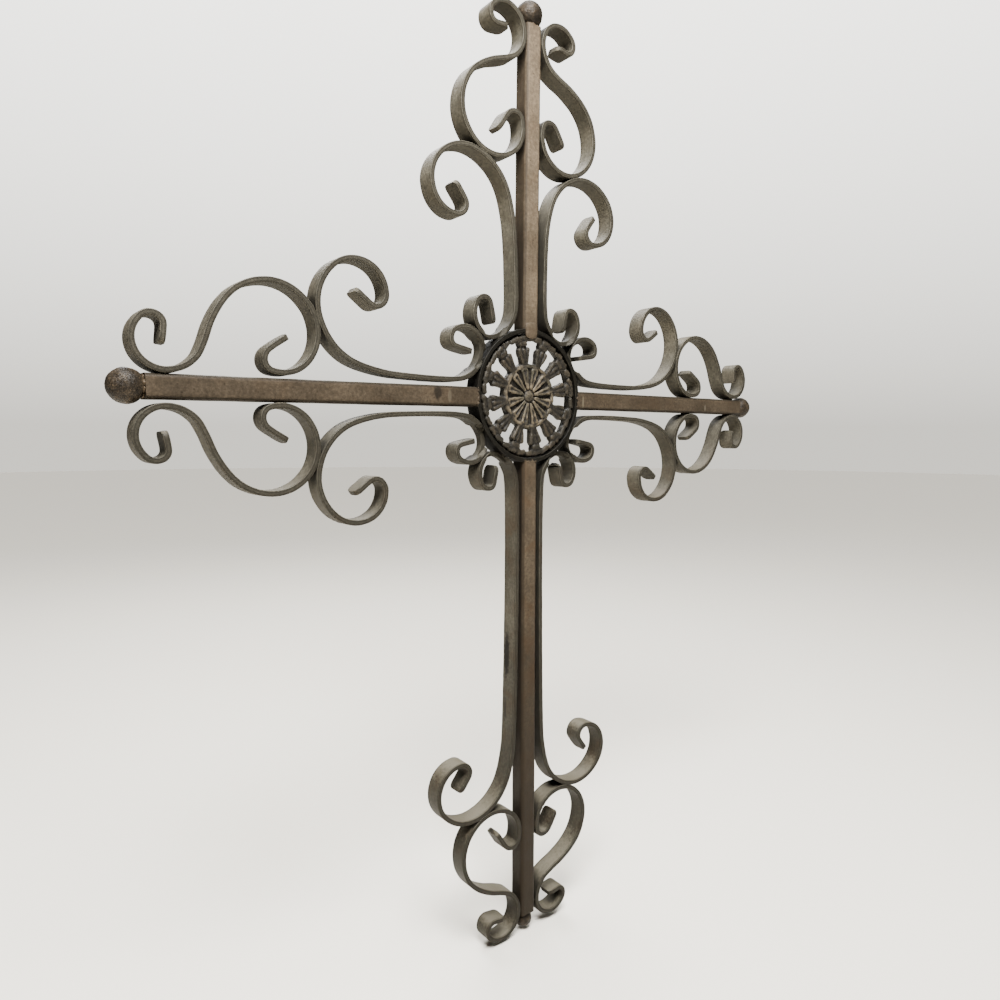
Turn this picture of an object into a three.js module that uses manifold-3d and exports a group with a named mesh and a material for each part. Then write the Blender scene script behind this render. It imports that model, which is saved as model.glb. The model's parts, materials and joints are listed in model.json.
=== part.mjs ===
// A wrought iron cross to hang on a wall: square bars with ball ends, a hoop with an openwork rosette
// at the crossing, and flat-strap scrolls along both sides of every arm. Millimetres, +Z up, front to -Y.
import * as THREE from 'three';
import * as BufferGeometryUtils from 'three/addons/utils/BufferGeometryUtils.js';
import Module from 'manifold-3d';

const wasm = await Module();
wasm.setup();

// Stock sizes
const barSize = 12.7;
const barCornerRadius = 2.4;
const strapThickness = 3.2;
const strapDepth = 12.7;

// Overall layout, measured from the centre of the crossing
const armReach = 252;
const lowerArmReach = 378;
const hoopRise = 1.5;
const mountRise = 70;

// Hoop and ball ends
const hoopRadius = 45.3;
const hoopThickness = 2.9;
const ballRadius = 9;
const lowerBallRadius = 6.4;
const ballSeatShare = 0.47;
const ballSegments = 14;
const ballRings = 8;

// Rosette
const rosetteDepth = 6;
const rosetteSetBack = 0.8;
const rosetteGroove = 1.3;
const rosetteBandWidth = 3.4;
const castingRelief = 0.7;
const castingOverlap = 0.8;
const discRadius = 22.3;
const discRimWidth = 3.4;
const discRimRound = 1;
const discRecess = 2.2;
const bossRadius = 4;
const bossCrownShare = 0.8;
const bossFall = 0.4;
const petalWidth = 4.4;
const petalRootWidth = 1;
const petalTipWidth = 2.9;
const petalWidestShare = 0.7;
const petalCount = 12;
const spokeCount = 12;
const spokeTurn = 10;
// A spoke's width from the disc outwards: a bell, a neck, a knob and a spreading head
const spokeProfile = [{ share: 0, width: 5 }, { share: 0.56, width: 8.8 }, { share: 0.68, width: 5.6 },
  { share: 0.78, width: 7 }, { share: 0.88, width: 6.6 }, { share: 1, width: 9.4 }];

// Clearance between pieces that touch, and the straps' distance from the bar they run along
const touchGap = 0.3;
const runGap = 3.9;
const lowerScrollSetOut = 4.6;

// End scroll, out from the crown of its belly: shoulder arcs, then the small curl by the ball
const crownToBall = 71;
const shoulder = [{ radius: 30.5, sweep: 54.4 }, { radius: 73, sweep: 18.6 }];
const ballCurlRadii = [19.4, 14.8, 14.5, 6.5, 5];
const ballCurlSweep = 70.3;
const ballCurlTip = 8.8;
// and back from the crown: the belly and its small curl
const bellyRadii = [26.2, 24.1, 19.7, 5.9, 7.2];
const bellySweep = 65.5;
const bellyTip = 12.3;

// Long scroll, out from the start of its straight run: flare, then the big curl
const flare = { radius: 114, sweep: 16.1 };
const bigCurlRadii = [35.1, 28.1, 20.8, 17.5, 7.7, 5.7];
const bigCurlSweep = 63.4;
const bigCurlTip = 11.8;
// and back from there: the small curl by the hoop
const hoopCurlRadii = [23.4, 13.6, 14.8, 7, 4.6];
const hoopCurlSweep = 69.8;
const hoopCurlTip = 13.1;

// How finely the outlines are cut
const coarsestStep = 24;
const chordError = 0.45;
const cornerSegments = 3;
const hoopSegments = 48;
const discSegments = 36;
const weldTolerance = 1e-4;
const settleRounds = 26;

// Where the hoop curl's own part of a long scroll's line ends, and the sizes its curl may take
const hoopCurlPoints = 24;
const smallestCurl = 0.5;
const largestCurl = 1.3;

// The arms, and how far hand work left each one and its two scroll pairs off true (degrees, mm, share)
const arms = [
  { name: 'upper', turn: 0, lean: -0.4, reach: armReach, setOut: 0, ballRadius, sides: {
    left: { mirror: -1, rise: 1.5, runTurn: 1.8, longSize: 1.01, endTurn: -0.7, endSize: 1.02 },
    right: { mirror: 1, rise: 0.8, runTurn: 0, longSize: 1.005, endTurn: -0.3, endSize: 1.01 } } },
  { name: 'right', turn: -90, lean: 0, reach: armReach, setOut: 0, ballRadius, sides: {
    upper: { mirror: -1, rise: 0.7, runTurn: -1.8, longSize: 1, endTurn: 0.3, endSize: 0.99 },
    lower: { mirror: 1, rise: 0.4, runTurn: 0.3, longSize: 1, endTurn: -0.5, endSize: 0.98 } } },
  { name: 'lower', turn: 180, lean: 0.1, reach: lowerArmReach, setOut: lowerScrollSetOut,
    ballRadius: lowerBallRadius, sides: {
    left: { mirror: 1, rise: 0, runTurn: 0.6, longSize: 0.98, endTurn: 0.4, endSize: 1.01 },
    right: { mirror: -1, rise: -0.9, runTurn: 0.3, longSize: 0.98, endTurn: 0.2, endSize: 0.98 } } },
  { name: 'left', turn: 90, lean: 0.4, reach: armReach, setOut: 0, ballRadius, sides: {
    upper: { mirror: 1, rise: -1.2, runTurn: 0.9, longSize: 1.01, endTurn: -1.5, endSize: 1.01 },
    lower: { mirror: -1, rise: -0.2, runTurn: 0.2, longSize: 1, endTurn: 1, endSize: 0.99 } } },
];
const corners = [['upper', 'left', 'left', 'upper'], ['upper', 'right', 'right', 'upper'],
  ['lower', 'left', 'left', 'lower'], ['lower', 'right', 'right', 'lower']];

const radians = THREE.MathUtils.degToRad;

// Solids
function toManifold(geometry) {
  const plain = geometry.index ? geometry.toNonIndexed() : geometry.clone();
  plain.deleteAttribute('normal');
  plain.deleteAttribute('uv');
  const merged = BufferGeometryUtils.mergeVertices(plain, weldTolerance);
  return new wasm.Manifold(new wasm.Mesh({
    numProp: 3,
    vertProperties: Float32Array.from(merged.attributes.position.array),
    triVerts: Uint32Array.from(merged.index.array),
  }));
}

function toGeometry(solid) {
  const mesh = solid.getMesh();
  const geometry = new THREE.BufferGeometry();
  geometry.setAttribute('position', new THREE.BufferAttribute(Float32Array.from(mesh.vertProperties), 3));
  geometry.setIndex(new THREE.BufferAttribute(Uint32Array.from(mesh.triVerts), 1));
  return geometry;
}

// An outline in the plane of the cross becomes a solid between two depths, front at -Y.
function upright(shape, front, back) {
  const geometry = new THREE.ExtrudeGeometry(shape, { depth: back - front, bevelEnabled: false, steps: 1 });
  geometry.rotateX(Math.PI / 2);
  geometry.translate(0, back, 0);
  return geometry;
}

function lathed(profile, segments) {
  const geometry = new THREE.LatheGeometry(profile, segments);
  geometry.deleteAttribute('normal').deleteAttribute('uv');
  return BufferGeometryUtils.mergeVertices(geometry, weldTolerance);
}

// Strap centre lines, as points in an arm's own plane: x along the arm, y out from it
function walk(heading, moves) {
  const points = [new THREE.Vector2(0, 0)];
  let angle = heading;
  for (const move of moves) {
    const last = points[points.length - 1];
    if (move.length !== undefined) {
      points.push(new THREE.Vector2(Math.cos(angle), Math.sin(angle)).multiplyScalar(move.length).add(last));
      continue;
    }
    const sweep = radians(move.sweep);
    const side = Math.sign(sweep);
    const inwards = new THREE.Vector2(-Math.sin(angle), Math.cos(angle)).multiplyScalar(side * move.radius);
    const centre = inwards.add(last);
    const finest = 2 * Math.acos(1 - Math.min(chordError / move.radius, 0.5));
    const steps = Math.ceil(Math.abs(sweep) / Math.min(finest, radians(coarsestStep)));
    for (let step = 1; step <= steps; step += 1) {
      const at = angle + (sweep * step) / steps;
      const outwards = new THREE.Vector2(Math.sin(at), -Math.cos(at)).multiplyScalar(side * move.radius);
      points.push(outwards.add(centre));
    }
    angle += sweep;
  }
  return points;
}

function curl(radii, sweep, tip, size = 1) {
  return [...radii.map((radius) => ({ radius: radius * size, sweep })), { length: tip * size }];
}

function endScrollLine() {
  const outward = [...shoulder.map(({ radius, sweep }) => ({ radius, sweep: -sweep })),
    ...curl(ballCurlRadii, ballCurlSweep, ballCurlTip)];
  const inward = curl(bellyRadii, bellySweep, bellyTip);
  return [...walk(0, outward).reverse(), ...walk(Math.PI, inward).slice(1)];
}

function longScrollLine(run, curlSize) {
  const outward = [{ length: run }, flare, ...curl(bigCurlRadii, bigCurlSweep, bigCurlTip)];
  const inward = curl(hoopCurlRadii, -hoopCurlSweep, hoopCurlTip, curlSize);
  return [...walk(Math.PI, inward).reverse(), ...walk(0, outward).slice(1)];
}

function placed(line, size, turn, x, y) {
  const origin = new THREE.Vector2(0, 0);
  const shift = new THREE.Vector2(x, y);
  const angle = radians(turn);
  return line.map((point) => point.clone().multiplyScalar(size).rotateAround(origin, angle).add(shift));
}

function distanceToLine(point, line) {
  let nearest = Infinity;
  for (let index = 1; index < line.length; index += 1) {
    const start = line[index - 1];
    const along = line[index].clone().sub(start);
    const share = THREE.MathUtils.clamp(point.clone().sub(start).dot(along) / along.lengthSq(), 0, 1);
    nearest = Math.min(nearest, start.clone().addScaledVector(along, share).distanceTo(point));
  }
  return nearest;
}

function distanceBetween(one, other) {
  const oneWay = Math.min(...one.map((point) => distanceToLine(point, other)));
  return Math.min(oneWay, ...other.map((point) => distanceToLine(point, one)));
}

// The value between low and high at which a rising measure reaches zero
function settle(low, high, measure) {
  let from = low;
  let to = high;
  for (let round = 0; round < settleRounds; round += 1) {
    const middle = (from + to) / 2;
    if (measure(middle) < 0) {
      from = middle;
    } else {
      to = middle;
    }
  }
  return to;
}

// A strap with square-cut ends along a centre line
function strapOutline(line) {
  const half = strapThickness / 2;
  const left = [];
  const right = [];
  line.forEach((point, index) => {
    const before = line[Math.max(index - 1, 0)];
    const after = line[Math.min(index + 1, line.length - 1)];
    const into = point.clone().sub(before).normalize();
    const out = after.clone().sub(point).normalize();
    if (index === 0) {
      into.copy(out);
    }
    if (index === line.length - 1) {
      out.copy(into);
    }
    const along = into.clone().add(out).normalize();
    const reach = half / Math.max(along.dot(into), Math.SQRT1_2);
    const across = new THREE.Vector2(-along.y, along.x).multiplyScalar(reach);
    left.push(point.clone().add(across));
    right.push(point.clone().sub(across));
  });
  return [...left, ...right.reverse()];
}

// From an arm's own plane to the plane of the cross
function onArm(point, arm, mirror) {
  const middle = new THREE.Vector2(0, 0);
  return new THREE.Vector2(point.y * mirror, point.x).rotateAround(middle, radians(arm.turn + arm.lean));
}

// How far the shared line between two neighbouring hoop curls lies off the true diagonal
function cornerShare(armName, sideName) {
  const isIn = ([a, b, c, d]) => (a === armName && b === sideName) || (c === armName && d === sideName);
  const corner = corners.find(isIn);
  const riseOf = (arm, side) => arms.find(({ name }) => name === arm).sides[side].rise;
  const lead = riseOf(corner[2], corner[3]) - riseOf(corner[0], corner[1]);
  return (corner[0] === armName && corner[1] === sideName ? 1 : -1) * 0.5 * lead;
}

function hoopCentreOnArm(arm, mirror) {
  const middle = new THREE.Vector2(0, 0);
  const centre = new THREE.Vector2(0, hoopRise).rotateAround(middle, -radians(arm.turn + arm.lean));
  return new THREE.Vector2(centre.y, centre.x * mirror);
}

function scrollLines(arm, sideName) {
  const side = arm.sides[sideName];
  const feet = barSize / 2 + touchGap + strapThickness / 2;
  const crown = arm.reach + arm.setOut - crownToBall;
  const loose = placed(endScrollLine(), side.endSize, side.endTurn, crown, 0);
  const lowest = Math.min(...loose.map(({ y }) => y));
  const end = placed(loose, 1, 0, 0, feet - lowest);

  const hoopCentre = hoopCentreOnArm(arm, side.mirror);
  const hoopStop = hoopRadius + touchGap + strapThickness / 2;
  const share = cornerShare(arm.name, sideName);
  const cornerStop = (strapThickness + touchGap) / 2 + share;
  const runHeight = barSize / 2 + strapThickness / 2 + runGap + side.rise;
  const upAndDown = arm.name === 'upper' || arm.name === 'lower';
  const fromCorner = ({ x, y }) => ((Math.abs(y) - Math.abs(x)) * (upAndDown ? 1 : -1)) / Math.SQRT2;
  const across = (point) => fromCorner(onArm(point, arm, side.mirror));
  const toCorner = (line) => Math.min(...line.map(across)) - cornerStop;
  const { longSize, runTurn } = side;
  const curlOnly = (curlSize, x) => placed(longScrollLine(1, curlSize), longSize, runTurn, x, runHeight);
  const nearHoop = (line) => line.filter(({ x }) => x < 3 * hoopRadius);
  const seated = (curlSize) => settle(0, 3 * hoopRadius,
    (x) => distanceToLine(hoopCentre, nearHoop(curlOnly(curlSize, x))) - hoopStop);
  const hoopCurl = (curlSize) => nearHoop(curlOnly(curlSize, seated(curlSize))).slice(0, hoopCurlPoints);
  const curlSize = settle(-largestCurl, -smallestCurl, (shrink) => toCorner(hoopCurl(-shrink)));
  const start = seated(-curlSize);
  const long = (run) => placed(longScrollLine(run, -curlSize), longSize, runTurn, start, runHeight);
  const meeting = strapThickness + touchGap;
  const run = settle(-arm.reach, 0, (length) => distanceBetween(long(-length), end) - meeting);
  return { end, long: long(-run) };
}

function strapSolid(line, arm, mirror) {
  const outline = strapOutline(line).map((point) => onArm(point, arm, mirror));
  const shape = new THREE.Shape(THREE.ShapeUtils.isClockWise(outline) ? outline.reverse() : outline);
  return upright(shape, -strapDepth / 2, strapDepth / 2);
}

// How far a ball's flat seat lies from its centre
function seatHeight(arm) {
  return arm.ballRadius * Math.sqrt(1 - ballSeatShare ** 2);
}

// Bars, butted against the hoop and reaching to the flat seat of each ball
function barSolid(arm) {
  const length = arm.reach - seatHeight(arm) - touchGap;
  const flat = barSize / 2 - barCornerRadius;
  const section = new THREE.Shape().moveTo(flat, -barSize / 2);
  [[1, -1], [1, 1], [-1, 1], [-1, -1]].forEach(([x, y], index) => {
    const begin = ((index - 1) * Math.PI) / 2;
    section.absarc(x * flat, y * flat, barCornerRadius, begin, begin + Math.PI / 2, false);
  });
  const cut = { depth: length, bevelEnabled: false, steps: 1, curveSegments: cornerSegments };
  const geometry = new THREE.ExtrudeGeometry(section, cut);
  geometry.rotateY(-radians(arm.turn + arm.lean));
  const stop = hoopRadius + touchGap;
  const cutter = new THREE.CylinderGeometry(stop, stop, 2 * barSize, 2 * hoopSegments);
  cutter.translate(0, 0, hoopRise);
  return toGeometry(toManifold(geometry).subtract(toManifold(cutter)));
}

function ballSolid(arm) {
  const profile = [new THREE.Vector2(0, -seatHeight(arm))];
  const from = -Math.acos(ballSeatShare);
  for (let ring = 0; ring < ballRings; ring += 1) {
    const at = from + ((Math.PI / 2 - from) * ring) / ballRings;
    profile.push(new THREE.Vector2(Math.cos(at), Math.sin(at)).multiplyScalar(arm.ballRadius));
  }
  profile.push(new THREE.Vector2(0, arm.ballRadius));
  const geometry = lathed(profile, ballSegments);
  geometry.rotateX(Math.PI / 2);
  geometry.translate(0, 0, arm.reach);
  geometry.rotateY(-radians(arm.turn + arm.lean));
  return geometry;
}

function hoopSolid() {
  const shape = new THREE.Shape().absarc(0, 0, hoopRadius, 0, 2 * Math.PI, false);
  const hole = new THREE.Path().absarc(0, 0, hoopRadius - hoopThickness, 0, 2 * Math.PI, true);
  shape.holes.push(hole);
  const cut = { depth: strapDepth, bevelEnabled: false, curveSegments: hoopSegments };
  const geometry = new THREE.ExtrudeGeometry(shape, cut);
  geometry.rotateX(Math.PI / 2);
  geometry.translate(0, strapDepth / 2, hoopRise);
  return geometry;
}

// Rosette: a band, bell-and-knob spokes, and a dished disc with petals and a boss, cast in one
function rosetteSolid() {
  const outer = hoopRadius - hoopThickness - touchGap;
  const front = -strapDepth / 2 + rosetteSetBack;
  const back = front + rosetteDepth;
  const floor = front + discRecess;
  const bandInner = outer - rosetteBandWidth;
  const rimInner = discRadius - discRimWidth;
  const band = lathed([
    [bandInner, front], [outer - rosetteGroove, front], [outer, front + rosetteGroove], [outer, back],
    [bandInner, back], [bandInner, front],
  ].map(([radius, depth]) => new THREE.Vector2(radius, depth)), hoopSegments);
  const disc = lathed([
    [0, front], [bossRadius * bossCrownShare, front + bossFall], [bossRadius, floor], [rimInner, floor],
    [rimInner + discRimRound, front], [discRadius - discRimRound, front], [discRadius, front + discRimRound],
    [discRadius, back], [0, back],
  ].map(([radius, depth]) => new THREE.Vector2(radius, depth)), discSegments);

  const spokeFrom = discRadius - castingOverlap;
  const spokeReach = bandInner + castingOverlap - spokeFrom;
  const spoke = tapered(spokeProfile.map(({ share, width }) => [spokeFrom + share * spokeReach, width]));
  const spokeSolid = upright(spoke, front + castingRelief, back - castingRelief);

  const petalFrom = bossRadius * bossCrownShare;
  const petalReach = rimInner + castingOverlap / 2 - petalFrom;
  const petal = tapered([[petalFrom, petalRootWidth],
    [petalFrom + petalWidestShare * petalReach, petalWidth], [petalFrom + petalReach, petalTipWidth]]);
  const petalSolid = upright(petal, front + castingRelief, floor + castingOverlap);

  let solid = toManifold(band).add(toManifold(disc));
  for (let index = 0; index < spokeCount; index += 1) {
    solid = solid.add(toManifold(turned(spokeSolid, spokeTurn + (360 * index) / spokeCount)));
  }
  for (let index = 0; index < petalCount; index += 1) {
    solid = solid.add(toManifold(turned(petalSolid, (360 * (index + 0.5)) / petalCount)));
  }
  const geometry = toGeometry(solid);
  geometry.translate(0, 0, hoopRise);
  return geometry;
}

// An outline even about the X axis, from pairs of distance and width
function tapered(pairs) {
  const near = pairs.map(([x, width]) => new THREE.Vector2(x, -width / 2));
  const far = pairs.map(([x, width]) => new THREE.Vector2(x, width / 2));
  return new THREE.Shape([...near, ...far.reverse()]);
}

function turned(geometry, angle) {
  return geometry.clone().rotateY(-radians(angle));
}

// Finishes
const finishes = {
  strap: { color: 0x5f5a4d, roughness: 0.5 },
  bar: { color: 0x74644c, roughness: 0.45 },
  ball: { color: 0x6f604a, roughness: 0.5 },
  casting: { color: 0x4a453a, roughness: 0.6 },
};
const metalness = 0.6;

const cross = new THREE.Group();
cross.name = 'wrought_iron_cross';
// The origin is the fixing point: on the flat back of the upper bar, above the hoop.
cross.position.set(0, -barSize / 2, -mountRise);

function addPiece(name, geometry, finish) {
  const mesh = new THREE.Mesh(geometry, new THREE.MeshStandardMaterial({ ...finish, metalness }));
  mesh.name = name;
  cross.add(mesh);
}

addPiece('hub_ring', hoopSolid(), finishes.strap);
addPiece('rosette', rosetteSolid(), finishes.casting);
for (const arm of arms) {
  addPiece(`${arm.name}_bar`, barSolid(arm), finishes.bar);
  addPiece(`${arm.name}_ball`, ballSolid(arm), finishes.ball);
  for (const [sideName, side] of Object.entries(arm.sides)) {
    const lines = scrollLines(arm, sideName);
    const long = strapSolid(lines.long, arm, side.mirror);
    const end = strapSolid(lines.end, arm, side.mirror);
    addPiece(`long_scroll_${arm.name}_${sideName}`, long, finishes.strap);
    addPiece(`end_scroll_${arm.name}_${sideName}`, end, finishes.strap);
  }
}

export default cross;
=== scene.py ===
import json
import math

import bmesh
import bpy
import numpy as np
from mathutils import Matrix, Vector, noise
from mathutils.bvhtree import BVHTree
from mathutils.kdtree import KDTree

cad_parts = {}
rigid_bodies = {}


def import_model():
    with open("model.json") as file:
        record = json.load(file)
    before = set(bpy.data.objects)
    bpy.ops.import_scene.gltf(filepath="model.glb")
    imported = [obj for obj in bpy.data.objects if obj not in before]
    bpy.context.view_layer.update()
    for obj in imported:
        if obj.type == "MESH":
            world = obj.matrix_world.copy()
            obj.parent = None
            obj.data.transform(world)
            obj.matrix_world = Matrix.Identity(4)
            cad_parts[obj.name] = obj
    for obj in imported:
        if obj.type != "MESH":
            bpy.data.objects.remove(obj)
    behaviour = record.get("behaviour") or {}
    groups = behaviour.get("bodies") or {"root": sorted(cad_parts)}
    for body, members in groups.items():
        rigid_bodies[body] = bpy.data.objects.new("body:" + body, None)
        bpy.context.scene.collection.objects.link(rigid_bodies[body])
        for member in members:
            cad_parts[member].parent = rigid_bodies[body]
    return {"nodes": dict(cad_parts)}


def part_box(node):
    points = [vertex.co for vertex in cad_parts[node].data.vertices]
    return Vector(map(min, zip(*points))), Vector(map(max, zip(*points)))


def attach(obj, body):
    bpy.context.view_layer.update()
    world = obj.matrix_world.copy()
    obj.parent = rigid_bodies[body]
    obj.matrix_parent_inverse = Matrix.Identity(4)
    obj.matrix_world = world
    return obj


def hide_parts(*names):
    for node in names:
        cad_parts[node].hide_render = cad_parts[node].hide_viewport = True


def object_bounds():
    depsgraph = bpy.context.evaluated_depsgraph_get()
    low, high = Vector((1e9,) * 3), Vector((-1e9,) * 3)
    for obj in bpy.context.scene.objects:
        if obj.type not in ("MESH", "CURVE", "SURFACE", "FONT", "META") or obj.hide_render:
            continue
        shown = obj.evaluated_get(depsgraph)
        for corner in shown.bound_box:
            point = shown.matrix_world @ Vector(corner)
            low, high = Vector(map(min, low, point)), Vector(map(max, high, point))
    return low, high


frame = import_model()
cad_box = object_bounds()

bl_info = {
    "name": "Wrought iron cross",
    "version": (1, 0, 0),
    "blender": (4, 5, 0),
    "location": "3D View > Sidebar > Cross",
    "description": "Builds a wrought iron wall cross with scrollwork and a cast rosette",
    "category": "Object",
}

MM = 0.001
BODY = "root"
MADE = "forged_"
DEPTH_AXIS = Vector((0.0, 1.0, 0.0))
ARMS = ("upper", "right", "lower", "left")
NODES = frame["nodes"]
LONG_SCROLLS = sorted(name for name in NODES if name.startswith("long_scroll_"))
END_SCROLLS = sorted(name for name in NODES if name.startswith("end_scroll_"))

# Sizes read off the solids
HOOP_LOW, HOOP_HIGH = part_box("hub_ring")
HOOP_CENTRE = (HOOP_LOW + HOOP_HIGH) / 2
HOOP_RADIUS = (HOOP_HIGH.x - HOOP_LOW.x) / 2
ROSETTE_LOW, ROSETTE_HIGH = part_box("rosette")
ROSETTE_RADIUS = (ROSETTE_HIGH.x - ROSETTE_LOW.x) / 2
HOOP_THICKNESS = HOOP_RADIUS - ROSETTE_RADIUS - 0.3 * MM
HOOP_RISE = 1.5 * MM
CROSSING = HOOP_CENTRE - Vector((0.0, 0.0, HOOP_RISE))
MID_DEPTH = HOOP_CENTRE.y
STRAP_DEPTH = HOOP_HIGH.y - HOOP_LOW.y
BAR_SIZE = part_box("lower_bar")[1].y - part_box("lower_bar")[0].y

# Forging: the cut ends are eased inwards and get more points just inside the cut
END_EASE = 0.93
END_EASE_LENGTHS = tuple(length * MM for length in (0.25, 0.5, 0.8))
TIP_ROUND = 3.4 * MM
TIP_RAGGED = 0.5
# Shares along each flat of a section at which it gets more points: the wide flats, then the narrow ones
STRAP_FLATS = ((0.33, 0.67), (0.05, 0.1, 0.2, 0.5, 0.8, 0.9, 0.95))
BAR_FLATS = ((0.14, 0.28, 0.43, 0.57, 0.72, 0.86),) * 2
BAR_CORNER_STEPS = 6
BAR_STEP = 1.6 * MM
BAR_OVERLAP = 0.7 * MM
STRAP_MARK_SCALE = 110.0
BAR_MARK_SCALE = 60.0
BAR_UNEVENNESS = 1.3
STRAP_WEAR_REACH = 1.8 * MM
BAR_WEAR_REACH = 2.6 * MM
STRAP_LINES = {}

# Welds: half sizes run along the joint, across it and in depth
CONTACT_STEP = 1.0 * MM
BEAD_REACH = 0.9 * MM
BEAD_WINDOW = 8
BEAD_HALF = (1.5 * MM, 1.1 * MM, 4.6 * MM)
CRUMB_HALF = (1.9 * MM, 0.8 * MM, 1.1 * MM)
CRUMB_INSET = 1.2 * MM
LAP_HALF = (5.6 * MM, 5.4 * MM, 1.45 * MM)
LAP_SINK = 0.7 * MM
LAP_SETBACK = 0.2 * MM
LAP_SQUARENESS = 0.62
# Crumbs at the feet of the other bars: place along and across the bar and half size, in millimetres
FOOT_CRUMBS = ((-0.4, -4.4, 1.5), (0.3, -1.6, 1.8), (-0.3, 1.4, 1.6), (0.4, 4.2, 1.4))
FOOT_CRUMB_SINK = 1.0 * MM
FOOT_CRUMB_DEPTH = 1.25 * MM
FOOT_CRUMB_WIDTH = 1.3

# Balls: scale and depth of the noise on them as shares of the radius
BALL_SEAT = 0.86
BALL_LUMPS = (2.2, 0.022)
BALL_GRAIN = (11.0, 0.016)
BALL_ALLOWANCE = 0.985
COLLAR_BEADS = 9
COLLAR_LIFT = 0.3 * MM
COLLAR_RADIUS = 0.5
COLLAR_BEAD_LENGTH = 1.1 * MM
COLLAR_BEAD_WIDTH = 0.2

# Casting: profiles are pairs of radius and depth behind the front, in millimetres
DISC_RADIUS = 22.3 * MM
DISC_PROFILE = ((0.0, 2.2), (18.8, 2.2), (19.1, 0.7), (19.8, 0.1), (20.7, 0.0), (21.7, 0.4), (22.3, 1.4))
BOSS_PROFILE = ((0.0, 0.0), (1.6, 0.2), (3.4, 0.9), (4.2, 1.8))
BOSS_BACK = 1.0 * MM
# The outer ring's radii are counted from the casting's edge
RING_PROFILE = ((-3.4, 1.4), (-2.0, 1.3), (-1.2, 2.6), (0.0, 3.0))
RING_WIDTH = 3.4 * MM
SPOKES = 12
SPOKE_TURN = math.radians(20)
SPOKE_IN_DISC = 0.8 * MM
SPOKE_IN_RING = 0.9 * MM
# A spoke's outline: share of its length, width in millimetres
SPOKE_WIDTHS = ((0.0, 6.6), (0.3, 8.4), (0.56, 11.0), (0.68, 7.6), (0.78, 9.6), (0.88, 9.2), (1.0, 12.0))
SPOKE_FACE = 1.1 * MM
SPOKE_BACK = 0.7 * MM
SPOKE_BEVEL = 0.7
PETALS = 12
PETAL_START = 5.4 * MM
PETAL_INSET = 2.8 * MM
ROPE_TURNS = 34
ROPE_INSET = 3.2 * MM
ROPE_THICKNESS = 1.95 * MM
# Unlikeness of the copies of spoke, petal and rope nodule
UNLIKENESS = (0.05, 0.08, 0.12)
# Rough skin: noise scale and depth
CASTING_SKIN = ((260.0, 0.9 * MM), (800.0, 0.35 * MM))

# Colours
FLANK_LEAN = 0.55
RIM_SHARE = 0.6
RIM_LEAN = 0.5
ROSETTE_OLIVE = (0.048, 0.042, 0.029)
ROSETTE_TAN = (0.112, 0.088, 0.057)
STRAP_BROWN = (0.062, 0.04, 0.022)
BAR_BROWN = (0.085, 0.048, 0.023)
BALL_TAN = (0.07, 0.048, 0.027)
# Dust and painted top light, laid on what faces up near the foot
DUST_AND_TOP_LIGHT = (0.115, 0.102, 0.073)
SIDE_BAR_SHADE = 0.6
HOOP_SHADE = 0.22
STRAP_EDGE_WEAR = 0.6
HOOP_EDGE_WEAR = 0.45
BAR_EDGE_WEAR = 0.55
BAR_FLANK_SHARE = 0.75
# Heights and distances between which a tone sets in, in metres
# Painted shade towards the foot sets in between these heights
FOOT_PAINTED_SHADE = (-0.34, 0.08)
HUB_DARKENS = (0.06, 0.085)
BROWN_ZONE = (-0.1, -0.16)
SPOKE_ZONE = (DISC_RADIUS - 1.0 * MM, DISC_RADIUS + 1.0 * MM)
# Scales of the patterns, in cycles per metre
MOTTLE_SCALE = 38.0
SCUFF_SCALE = 480.0
GRAIN_SCALE = 1700.0
PATCH_SCALE = 60.0
SPECK_SCALE = 330.0
SPECK_SPREAD = 90.0
RAGGED_SCALE = 650.0
CAST_MOTTLE_SCALE = 70.0
CAST_SCUFF_SCALE = 520.0
CAST_GRAIN_SCALE = 1500.0
BALL_MOTTLE_SCALE = 150.0
BALL_SCUFF_SCALE = 700.0
# Marks of wear: place and half sizes in millimetres, colour, strength
SCARS = (
    ((-13.8, -4.2, -249.0), (3.0, 3.2, 18.0), (0.006, 0.005, 0.004), 0.95),
    ((-14.5, -3.4, -288.0), (3.0, 1.6, 9.0), (0.008, 0.006, 0.005), 0.6),
    ((-75.8, -12.7, -68.5), (3.4, 4.0, 5.0), (0.01, 0.008, 0.006), 0.85),
    ((-67.0, -12.7, -70.5), (1.6, 3.0, 4.5), (0.1, 0.085, 0.06), 0.3),
    ((49.7, -12.7, -71.0), (0.7, 3.0, 5.0), (0.14, 0.12, 0.08), 0.5),
    ((193.3, -12.7, -71.7), (1.2, 3.0, 3.0), (0.14, 0.12, 0.09), 0.4),
    ((36.0, -8.0, -134.0), (4.5, 5.5, 4.5), (0.11, 0.075, 0.045), 0.8),
)

# Painted shade: feelers sent out from each point find what shelters it, and the colour darkens there as shade
SHADE_RAYS = 9
SHADE_LOWEST_RAY = 0.25
SHADE_LIFT = 0.7 * MM
SHADE_REACH = 22.0 * MM
SHADE_GAIN = 1.9
UNDERSIDE_SHADE = 0.6
FRONT_SHADE_SPARED = 0.85

# The photograph's camera, solved against the arms: from the crossing of the bars, in millimetres
PHOTO_WIDTH = 1000.0
SENSOR_WIDTH = 36.0
CAMERA_FOCAL = 741.5
CAMERA_PLACE = (-332.3, -395.2, -25.2)
VIEW_YAW = math.radians(38.17)
VIEW_PITCH = math.radians(-4.98)
VIEW_ROLL = math.radians(0.15)

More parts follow.
